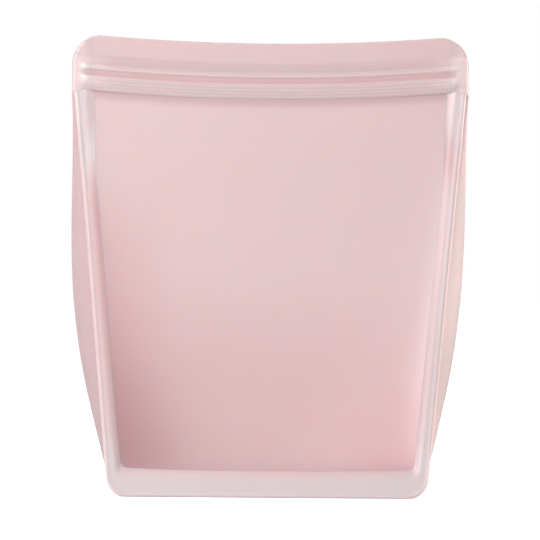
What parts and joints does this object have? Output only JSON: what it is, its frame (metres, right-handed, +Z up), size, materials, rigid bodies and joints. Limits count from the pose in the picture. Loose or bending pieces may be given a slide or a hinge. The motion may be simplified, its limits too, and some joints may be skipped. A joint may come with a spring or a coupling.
{
  "type": "reusable silicone bag",
  "caption": "Stand-up reusable silicone food bag: two tapered walls framed by thick seams, gusseted sides and base, tongue-and-groove pinch lock and pull lips.",
  "frame": {"origin": "centre of the footprint, on the floor the bag stands on", "axes": "+X to the right along the mouth, -Y the front wall, +Z up"},
  "size_m": [0.1976, 0.0798, 0.2279],
  "materials": {
    "wall_silicone": "matte, milky pale pink, translucent",
    "gusset_silicone": "matte, thinner looking, paler than the walls, translucent",
    "seam_silicone": "satin, whiter than the walls",
    "lock_silicone": "satin, pale pink with darker finger groove"
  },
  "bodies": {
    "bag_body": {"front_lower_panel": "wall_silicone", "front_foot_seam": "seam_silicone", "front_left_seam": "seam_silicone", "front_right_seam": "seam_silicone", "left_gusset": "gusset_silicone", "right_gusset": "gusset_silicone", "base_gusset": "gusset_silicone", "left_end_weld": "seam_silicone", "right_end_weld": "seam_silicone"},
    "front_mouth": {"front_upper_panel": "wall_silicone", "front_lock": "lock_silicone", "front_lip": "seam_silicone"},
    "rear_mouth": {"rear_lock": "lock_silicone", "rear_lip": "seam_silicone"},
    "rear_wall": {"rear_lower_panel": "wall_silicone", "rear_foot_seam": "seam_silicone", "rear_left_seam": "seam_silicone", "rear_right_seam": "seam_silicone"},
    "rear_shoulder": {"rear_upper_panel": "wall_silicone"}
  },
  "joints": [
    {"name": "front_open", "type": "hinge", "parent": "bag_body", "child": "front_mouth", "pos_m": [0, -0.01913, 0.10627], "axis": [1, 0, 0], "range_deg": [0, 14], "stiffness_Nm_per_rad": 0.03},
    {"name": "rear_open", "type": "hinge", "parent": "bag_body", "child": "rear_mouth", "pos_m": [0, 0.01913, 0.10627], "axis": [-1, 0, 0], "range_deg": [0, 14], "stiffness_Nm_per_rad": 0.03},
    {"name": "fold_flat", "type": "hinge", "parent": "bag_body", "child": "rear_wall", "pos_m": [0, 0.0005, 0.198], "axis": [1, 0, 0], "range_deg": [-20.5, 0], "deforming": ["left_gusset", "right_gusset", "base_gusset"]},
    {"name": "rear_shoulder_bend", "type": "hinge", "parent": "rear_wall", "child": "rear_shoulder", "pos_m": [0, 0.01913, 0.10627], "axis": [-1, 0, 0], "range_deg": [0, 14]}
  ],
  "couplings": [
    {"joint": "rear_shoulder_bend", "follows": "rear_open", "ratio": 1}
  ]
}
